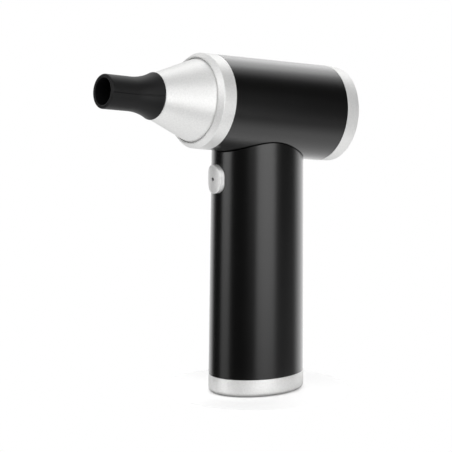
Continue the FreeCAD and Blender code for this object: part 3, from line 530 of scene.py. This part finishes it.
def woven_screen():
    """Square weave of fine wires, each going over and under the ones across it, in a pressed rim."""
    wire, pitch, rim = 0.3, 1.25, 0.7
    middle = (SCREEN_FRONT + SCREEN_BACK) / 2
    radius = SCREEN_RADIUS - rim / 2
    curve = bpy.data.curves.new("wires", "CURVE")
    curve.dimensions = "3D"
    curve.bevel_depth = wire / 2
    curve.bevel_resolution = 0
    count = int(radius / pitch)
    for across in (False, True):
        for k in range(-count, count + 1):
            chord = math.sqrt(radius ** 2 - (k * pitch) ** 2)
            spline = curve.splines.new("POLY")
            crossings = range(-int(chord / pitch), int(chord / pitch) + 1)
            spline.points.add(len(crossings) - 1)
            for point, n in zip(spline.points, crossings):
                over = wire / 2 if (n + k) % 2 else -wire / 2
                if across:
                    point.co = (middle - over, n * pitch, k * pitch, 1)
                else:
                    point.co = (middle + over, k * pitch, n * pitch, 1)
    wires = in_scene("wires", curve)
    weave = bmesh.new()
    weave.from_mesh(finished_mesh(wires))
    bpy.data.objects.remove(wires)
    band = turned([(SCREEN_FRONT, radius - rim, CRISP), (SCREEN_BACK, radius - rim, CRISP),
                   (SCREEN_BACK, SCREEN_RADIUS, CRISP), (SCREEN_FRONT, SCREEN_RADIUS, CRISP)])
    piece = object_from("screen_woven", joined(weave, band), BARREL)
    fitted(piece, "intake_cover", "screen_mesh", "filter_screen")


# Handle

def grip_halves(z, inset=0.0):
    """Half depth and half width of the handle's oval at a height."""
    share = (z - GRIP_BASE) / (GRIP_AXIS - GRIP_BASE)
    depth = GRIP_DEPTH + (GRIP_TOP_DEPTH - GRIP_DEPTH) * share
    width = GRIP_WIDTH + (GRIP_TOP_WIDTH - GRIP_WIDTH) * share
    return depth / 2 - inset, width / 2 - inset


def oval_point(turn, z, inset):
    """A point on the handle's oval at a height."""
    half_depth, half_width = grip_halves(z, inset)
    return half_depth * math.cos(turn), half_width * math.sin(turn), z


def saddle_height(x, y):
    """Height of the surface just under the barrel, above a point of the handle's section."""
    radius = BARREL_RADIUS + SADDLE_GAP
    return GRIP_AXIS - (math.sqrt(radius ** 2 - y ** 2) + x * math.sin(RAKE)) / math.cos(RAKE)


def grip_point(turn, share, inset):
    """A point of the handle's wall, from the base at share 0 to the saddle at share 1."""
    x, y, _ = oval_point(turn, GRIP_AXIS - BARREL_RADIUS, inset)
    z = GRIP_BASE + (saddle_height(x, y) - GRIP_BASE) * share
    return oval_point(turn, z, inset)


def slotted(turn, x, half_width, half_height, z):
    """A point on a slot outline with round ends, in a plane across X."""
    end = min(half_width, half_height)
    y = math.copysign(half_width - end, math.sin(turn)) + end * math.sin(turn)
    up = math.copysign(half_height - end, math.cos(turn)) + end * math.cos(turn)
    return x, y, z + up


def slot_cutter(x0, x1, half_width, half_height, z):
    """A solid slot from one x to another, to be cut out of the handle."""
    stations = [((x, half_width, half_height, z), 0) for x in (x0, x1)]
    return wrapped(stations, slotted, SLOT_STEPS, closed=False)


def grip_tube():
    """Tapered oval tube whose top follows the barrel. The button's slot is in front, the socket's behind."""
    rows, inner_rows = 24, 4
    stations = [((k / rows, 0), 0) for k in range(rows + 1)]
    stations[0] = ((0, 0), FINE)
    stations[-1] = ((1, 0), EASED)
    stations += [((1 - k / inner_rows, GRIP_WALL), 0) for k in range(inner_rows + 1)]
    piece = object_from("grip_anodised", wrapped(stations, grip_point, OVAL_STEPS), WORLD)
    button_slot = slot_cutter(-CUT_END, -CUT_START, BUTTON_WIDTH / 2 + LOOSE, BUTTON_HEIGHT / 2 + LOOSE,
                              BUTTON_Z)
    socket_slot = slot_cutter(CUT_START, CUT_END, SOCKET_WIDTH / 2 + SOCKET_GAP,
                              SOCKET_HEIGHT / 2 + SOCKET_GAP, SOCKET_Z)
    cut_away(piece, button_slot, socket_slot)
    fitted(piece, "housing", "black_casing", "handle_shell")


def button_point(turn, behind, inset, share):
    """A point of the button: share leads from its outline at 0 to the light's hole at 1."""
    _, y, z = slotted(turn, 0, BUTTON_WIDTH / 2 - inset, BUTTON_HEIGHT / 2 - inset, BUTTON_Z)
    y += (LIGHT_RADIUS * math.sin(turn) - y) * share
    z += (BUTTON_Z + LIGHT_RADIUS * math.cos(turn) - z) * share
    half_depth, half_width = grip_halves(z)
    return -half_depth * math.sqrt(1 - (y / half_width) ** 2) + behind, y, z


def push_button():
    """Cap with a curved face and rounded edges, hollow behind. Its flange stays inside the handle."""
    face, face_rings, wall, hollow_share, draft = -BUTTON_PROUD, 6, 1.4, 0.5, 0.1
    flange, flange_depth = 1.0, 1.0
    flange_front = GRIP_WALL + LOOSE
    flange_back = flange_front + flange_depth
    stations = [((face, draft, 0), SOFT)]
    stations += [((face, draft, k / face_rings), 0) for k in range(1, face_rings)]
    stations += [((face, draft, 1), FINE), ((face + wall, 0, 1), 0), ((face + wall, wall, hollow_share), 0),
                 ((face + wall, wall, 0), 0), ((flange_back, wall, 0), 0), ((flange_back, -flange, 0), 0),
                 ((flange_front, -flange, 0), 0), ((flange_front, 0, 0), 0)]
    piece = object_from("button_anodised", wrapped(stations, button_point, BUTTON_STEPS), WORLD)
    fitted(piece, "button", "satin_aluminium", "power_button")


def light_lens():
    """Small clear pin with a domed end, just under the button's face."""
    low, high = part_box("light_pipe")
    front, back, radius = low.x / MM, high.x / MM, (high.z - low.z) / 2 / MM
    # How far behind the front, and at what share of the radius
    dome = ((0, 0.3), (0.12, 0.75), (0.35, 1))
    stations = [((front + depth, radius * share), 0) for depth, share in dome] + [((back, radius), 0)]
    bm = wrapped(stations, lambda turn, x, r: (x, r * math.sin(turn), BUTTON_Z + r * math.cos(turn)),
                 LENS_STEPS, closed=False)
    fitted(object_from("light_lens", bm, WORLD), "button", "clear_plastic", "light_pipe")


def charging_socket():
    """Pressed steel shell with a tongue inside."""
    back, mouth = SOCKET_BOX[0].x / MM, SOCKET_BOX[1].x / MM
    wall, back_wall = 0.35, 1.0
    tongue_width, tongue_thickness, tongue_end = 6.4, 0.7, mouth - 1
    inside_back = back + back_wall

    def ring(x, inset, size=0):
        return (x, SOCKET_WIDTH / 2 - inset, SOCKET_HEIGHT / 2 - inset, SOCKET_Z), size

    shell = wrapped([ring(inside_back, wall), ring(mouth, wall, CRISP), ring(mouth, 0, CRISP),
                     ring(back, 0, BROKEN)], slotted, SLOT_STEPS, closed=False)
    tongue = bar((tongue_end - inside_back, tongue_width, tongue_thickness),
                 ((tongue_end + inside_back) / 2, 0, SOCKET_Z), CLEAN)
    piece = object_from("socket_shell", joined(shell, tongue), WORLD)
    fitted(piece, "housing", "bright_steel", "charge_socket")


# Base

def base():
    """Cap with a finely eased top edge, a rounded lower edge and a recess for the foot pad."""
    bottom, recess, floor_top, foot_inset, lower_round = 0.1, 1.6, 3.6, 4.4, 2.1
    spigot, spigot_height, spigot_wall = GRIP_WALL + FIT, 4.0, 1.4
    spigot_top = GRIP_BASE + spigot_height
    stations = [((recess, foot_inset), 0), ((bottom, foot_inset), BROKEN), ((bottom, 0), lower_round),
                ((GRIP_BASE, 0), EASED), ((GRIP_BASE, spigot), 0), ((spigot_top, spigot), BROKEN),
                ((spigot_top, spigot + spigot_wall), 0), ((floor_top, spigot + spigot_wall), 0)]
    piece = object_from("base_anodised", wrapped(stations, oval_point, OVAL_STEPS, closed=False), WORLD)
    fitted(piece, "housing", "satin_aluminium", "base_cap")


def foot():
    """Flat rubber pad in the base's recess."""
    low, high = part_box("foot_pad")
    inset = 4.5
    bm = wrapped([((low.z / MM, inset), EASED), ((high.z / MM, inset), 0)], oval_point, OVAL_STEPS,
                 closed=False)
    fitted(object_from("foot_rubber", bm, WORLD), "housing", "black_rubber", "foot_pad")


# Inner pieces

BODY_OF = {node: body for body, nodes in frame["record"]["behaviour"]["bodies"].items() for node in nodes}
SLOT_OF = {subpart["node"]: subpart["material_slot"] for subpart in frame["record"]["subparts"]}
SEEN_INSIDE = ("nose_seal", "outlet_sleeve", "fan_housing", "inlet_bell", "impeller", "impeller_nut",
               "rotor_shaft", "tail_cone", "mount_ring_front", "mount_ring_rear")


def softened(node):
    """A copy of a CAD node with its flat facets merged and its curved ones shaded as one surface."""
    bm = bmesh.new()
    bm.from_mesh(frame["nodes"][node].data)
    bmesh.ops.remove_doubles(bm, verts=bm.verts, dist=SAME_CAD_POINT)
    bmesh.ops.dissolve_limit(bm, angle_limit=FLAT_ANGLE, verts=bm.verts, edges=bm.edges)
    piece = object_from(node + "_finished", bm, Matrix.Scale(1 / MM, 4))
    fitted(piece, BODY_OF[node], SLOT_OF[node], node)


rubber_tip()
turned_cone()
collar()
barrel_tube()
cover_ring()
grille()
woven_screen()
grip_tube()
push_button()
light_lens()
charging_socket()
base()
foot()
for name in SEEN_INSIDE:
    softened(name)

# The CAD nodes that stay as they are, and the ones that others stand for, take the finish of their own slot.
for name, node in frame["nodes"].items():
    node.data.materials.clear()
    node.data.materials.append(FINISHES[SLOT_OF[name]])


# Studio

# The camera's place and lens, solved together with the object's real sizes
CAMERA_AZIMUTH = -34.212
CAMERA_ELEVATION = 12.186
CAMERA_ROLL = 0.396
CAMERA_SHIFT_RIGHT = 15.353 * MM
CAMERA_SHIFT_UP = 57.396 * MM
CAMERA_DISTANCE = 3.3333
CAMERA_REACH = 50.0
CAMERA_LENS = 552.24
SENSOR_WIDTH = 36.0

# Where the white backdrop stands, and how bright it, the ground and the rest of the room are. A fade is
# between two cosines: of the angle from the backdrop's middle, and of the angle from straight up.
BACKDROP_WAY = (0.643, 0.766, 0.0)
BACKDROP_FADE = (0.35, 0.6)
BACKDROP_LEVEL = 1.1
GROUND_FADE = (-0.38, -0.8)
GROUND_LEVEL = 1.05
ROOM_LEVEL = 0.03

# The floor: its radius, the radius of the part that metal shows, and what lifts it to white for the camera
FLOOR_RADIUS = 3.0
NEAR_FLOOR = 0.045
FLOOR_LIFT = 0.25

# The shade round the foot, which ends at this many times the base's own outline
FOOT_SHADE = "949494"
SHADE_REACH = 1.24

LAMP_AIM = Vector((0, 0, 0.09))
LAMP_DISTANCE = 1.2
LAMPS = (
    # name, azimuth, elevation, width and height in degrees, level
    ("front_box", 8, 0, 37, 30, 2.7),
    ("front_middle_box", -20, 5, 20, 24, 1.0),
    ("front_high_box", -20, 41, 45, 48, 1.1),
    ("front_right_box", 20, 29, 18, 24, 2.8),
    ("right_fill_box", 48, -30, 44, 36, 0.25),
    ("left_low_box", -95, -20, 32, 24, 0.5),
    ("left_box", -93, 2, 31, 24, 2.9),
    ("left_high_box", -80, 41, 45, 48, 1.3),
    ("back_left_box", -130, 41, 38, 48, 0.65),
    ("back_top_box", 135, 53, 36, 24, 0.9),
    ("back_right_box", 130, 29, 35, 24, 0.7),
    ("right_box", 115, -5, 50, 40, 0.35),
    ("top_box", 0, 90, 45, 45, 0.45),
)


def studio_world():
    """White where the camera looks. The object itself, and so its metal, sees a white backdrop behind it,
    white ground below and a dim room in front."""
    world = bpy.data.worlds.new("studio")
    bpy.context.scene.world = world
    world.use_nodes = True
    tree = world.node_tree
    tree.nodes.clear()
    way = add(tree, "ShaderNodeTexCoord").outputs["Generated"]
    ahead = add(tree, "ShaderNodeVectorMath", {"operation": "DOT_PRODUCT", SECOND: BACKDROP_WAY},
                {FIRST: way})
    backdrop = add(tree, "ShaderNodeMapRange",
                   {"From Min": BACKDROP_FADE[0], "From Max": BACKDROP_FADE[1],
                    "To Min": ROOM_LEVEL, "To Max": BACKDROP_LEVEL},
                   {"Value": ahead.outputs["Value"]})
    height = add(tree, "ShaderNodeSeparateXYZ", {}, {FIRST: way})
    ground = add(tree, "ShaderNodeMapRange",
                 {"From Min": GROUND_FADE[0], "From Max": GROUND_FADE[1], "To Max": GROUND_LEVEL},
                 {"Value": height.outputs["Z"]})
    shown = add(tree, "ShaderNodeMath", {"operation": "MAXIMUM"},
                {FIRST: backdrop.outputs[0], SECOND: ground.outputs[0]})
    path = add(tree, "ShaderNodeLightPath")
    level = add(tree, "ShaderNodeMix", {NUMBER_B: 1.0},
                {FACTOR: path.outputs["Is Camera Ray"], NUMBER_A: shown.outputs[0]})
    white = add(tree, "ShaderNodeBackground", {"Color": colour("ffffff")}, {"Strength": level.outputs[0]})
    add(tree, "ShaderNodeOutputWorld", {}, {"Surface": white.outputs[0]})


def floor_material(name, shaded):
    """White paper. The shade round the foot is for the object itself, and the camera doesn't see it."""
    material, tree, shader = new_material(name, "ffffff", roughness=0.9, specular=0.0)
    seen = add(tree, "ShaderNodeLightPath").outputs["Is Camera Ray"]
    shader.inputs["Emission Color"].default_value = colour("ffffff")
    lift = add(tree, "ShaderNodeMath", {"operation": "MULTIPLY", SECOND: FLOOR_LIFT}, {FIRST: seen})
    tree.links.new(lift.outputs[0], shader.inputs["Emission Strength"])
    if shaded:
        half_depth, half_width = grip_halves(GRIP_BASE)
        place = add(tree, "ShaderNodeTexCoord").outputs["Object"]
        footprint = add(tree, "ShaderNodeMapping",
                        {"Scale": (1 / (half_depth * MM), 1 / (half_width * MM), 0)}, {"Vector": place})
        reach = add(tree, "ShaderNodeVectorMath", {"operation": "LENGTH"}, {FIRST: footprint.outputs[0]})
        light = add(tree, "ShaderNodeMapRange", {"From Min": 1.0, "From Max": SHADE_REACH},
                    {"Value": reach.outputs["Value"]})
        open_floor = add(tree, "ShaderNodeMath", {"operation": "MAXIMUM"},
                         {FIRST: light.outputs[0], SECOND: seen})
        paper = add(tree, "ShaderNodeMix",
                    {"data_type": "RGBA", COLOUR_A: colour(FOOT_SHADE), COLOUR_B: colour("ffffff")},
                    {FACTOR: open_floor.outputs[0]})
        tree.links.new(paper.outputs[MIXED_COLOUR], shader.inputs["Base Color"])
    return material


def floor():
    """Floor in two parts: metal shows the near one, and the ground light in place of the far one."""
    parts = (("floor", NEAR_FLOOR, FLOOR_RADIUS, False), ("near_floor", 0.0, NEAR_FLOOR, True))
    for name, inner, outer, near in parts:
        bm = bmesh.new()
        bmesh.ops.create_circle(bm, cap_ends=True, segments=96, radius=outer)
        if inner:
            bmesh.ops.inset_region(bm, faces=bm.faces, thickness=outer - inner)
            middle = [face for face in bm.faces if len(face.verts) > 4]
            bmesh.ops.delete(bm, geom=middle, context="FACES")
        mesh = bpy.data.meshes.new(name)
        bm.to_mesh(mesh)
        bm.free()
        mesh.materials.append(floor_material("pale_" + name, near))
        piece = in_scene(name, mesh)
        piece.visible_glossy = near


def direction(azimuth, elevation):
    """The way from the object to something that is seen from it at these angles, in degrees.

    Azimuth 0 is in front and 90 to the right."""
    turn = math.radians(azimuth)
    tilt = math.radians(elevation)
    return Vector((math.sin(turn) * math.cos(tilt), -math.cos(turn) * math.cos(tilt), math.sin(tilt)))


def softbox(name, azimuth, elevation, wide, high, level):
    """A soft lamp aimed at the object, as wide and high in degrees as the object sees it. The level is the
    lamp's own brightness, where 1 is white."""
    way = direction(azimuth, elevation)
    lamp = bpy.data.lights.new(name, "AREA")
    lamp.shape = "RECTANGLE"
    lamp.size = 2 * LAMP_DISTANCE * math.tan(math.radians(wide / 2))
    lamp.size_y = 2 * LAMP_DISTANCE * math.tan(math.radians(high / 2))
    lamp.energy = level * lamp.size * lamp.size_y * math.pi
    holder = in_scene(name, lamp)
    holder.location = LAMP_AIM + way * LAMP_DISTANCE
    holder.rotation_euler = way.to_track_quat("Z", "Y").to_euler()
    holder.visible_camera = False


def photograph_camera():
    """The photograph's view: fitted to the object's edges with its real sizes."""
    toward = direction(CAMERA_AZIMUTH, CAMERA_ELEVATION)
    turn = math.radians(CAMERA_AZIMUTH)
    level = Vector((math.cos(turn), math.sin(turn), 0.0))
    right = Matrix.Rotation(math.radians(CAMERA_ROLL), 3, toward) @ level
    up = toward.cross(right)
    place = AXIS_POINT - right * CAMERA_SHIFT_RIGHT - up * CAMERA_SHIFT_UP + toward * CAMERA_DISTANCE
    lens = bpy.data.cameras.new("photograph")
    lens.lens = CAMERA_LENS
    lens.sensor_width = SENSOR_WIDTH
    lens.clip_end = CAMERA_REACH
    camera = in_scene("photograph", lens)
    camera.matrix_world = Matrix.Translation(place) @ Matrix((right, up, toward)).transposed().to_4x4()
    bpy.context.scene.camera = camera


studio_world()
floor()
for lamp in LAMPS:
    softbox(*lamp)
photograph_camera()
bpy.context.scene.view_settings.view_transform = "Standard"
